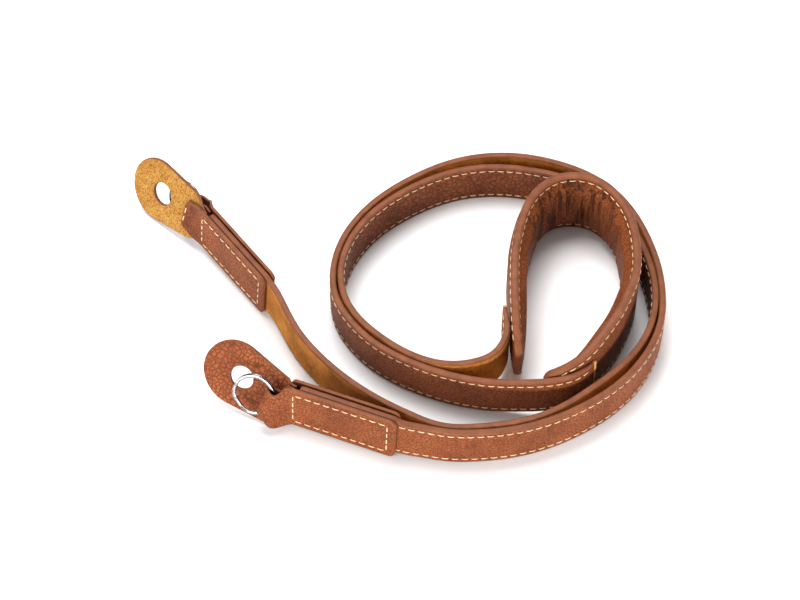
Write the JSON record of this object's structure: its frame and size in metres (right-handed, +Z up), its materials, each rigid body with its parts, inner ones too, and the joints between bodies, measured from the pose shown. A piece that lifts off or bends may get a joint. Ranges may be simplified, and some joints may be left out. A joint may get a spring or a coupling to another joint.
{
  "type": "camera neck strap",
  "caption": "Leather camera neck strap lying coiled on its edge, with a padded shoulder piece, folded end tabs, split rings and round-holed protector flaps.",
  "frame": {"origin": "middle of the box of the whole coiled strap, on the surface that it rests on", "axes": "+Z up; +X to the right and +Y away from the viewer in the picture"},
  "size_m": [0.1856, 0.1212, 0.028],
  "materials": {
    "leather": "pebbled leather with smooth lighter painted edges",
    "lining_leather": "soft pebbled leather over padding",
    "suede": "napped golden-brown suede",
    "flap_leather": "pebbled leather on one side, speckled ochre split leather on the other",
    "ring_steel": "polished"
  },
  "bodies": {
    "strap": {"shoulder_pad_face": "leather", "shoulder_pad_lining": "lining_leather", "strap_outer_face": "leather", "strap_outer_back": "suede", "tab_outer": "leather", "cover_outer": "leather", "flap_outer": "flap_leather", "strap_inner_face": "leather", "strap_inner_back": "suede", "tab_inner": "leather", "cover_inner": "leather", "flap_inner": "flap_leather"},
    "ring_outer": {"ring_outer": "ring_steel"},
    "ring_inner": {"ring_inner": "ring_steel"}
  },
  "joints": [
    {"name": "ring_outer_swing", "type": "hinge", "parent": "strap", "child": "ring_outer", "pos_m": [-0.04077, -0.04391, 0.01069], "axis": [0.4384, 0.3289, 0.8364], "range_deg": [-12, 80]},
    {"name": "ring_inner_swing", "type": "hinge", "parent": "strap", "child": "ring_inner", "pos_m": [-0.06928, 0.03948, 0.00979], "axis": [-0.2634, -0.2821, -0.9225], "range_deg": [-3, 85]}
  ]
}
